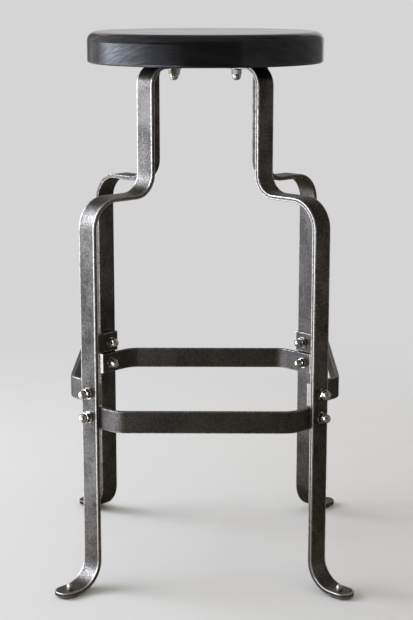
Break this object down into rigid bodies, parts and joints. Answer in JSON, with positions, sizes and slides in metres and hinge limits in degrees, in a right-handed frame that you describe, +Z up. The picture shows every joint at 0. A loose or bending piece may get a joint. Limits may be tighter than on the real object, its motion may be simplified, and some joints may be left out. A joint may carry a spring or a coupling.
{
  "type": "bar stool",
  "caption": "Backless bar stool: round black-stained wooden seat on stepped flat-bar steel legs with splayed feet, tied by bolted footrest bars.",
  "frame": {"origin": "on the floor, below the centre of the seat", "axes": "+Z up; -Y is the front, where the lower footrest bar faces the viewer; +X is to the viewer's right"},
  "size_m": [0.4054, 0.4054, 0.75],
  "materials": {
    "black_stained_wood": "open-grained hardwood stained black under a satin oil",
    "hot_rolled_steel": "hot-rolled flat bar with mottled mill scale, waxed, rubbed bright along its edges",
    "plated_fasteners": "bright zinc plating",
    "black_rubber": "matt moulded rubber"
  },
  "bodies": {
    "root": {"seat": "black_stained_wood", "leg_front_left": "hot_rolled_steel", "leg_front_right": "hot_rolled_steel", "leg_rear_left": "hot_rolled_steel", "leg_rear_right": "hot_rolled_steel", "footrest_front": "hot_rolled_steel", "footrest_rear": "hot_rolled_steel", "footrest_left": "hot_rolled_steel", "footrest_right": "hot_rolled_steel", "foot_pad_front_left": "black_rubber", "foot_pad_front_right": "black_rubber", "foot_pad_rear_left": "black_rubber", "foot_pad_rear_right": "black_rubber", "foot_rivets": "plated_fasteners", "footrest_bolts": "plated_fasteners", "footrest_washers": "plated_fasteners", "footrest_cap_nuts": "plated_fasteners", "seat_hanger_bolts": "plated_fasteners", "seat_washers": "plated_fasteners", "seat_cap_nuts": "plated_fasteners"}
  },
  "joints": []
}
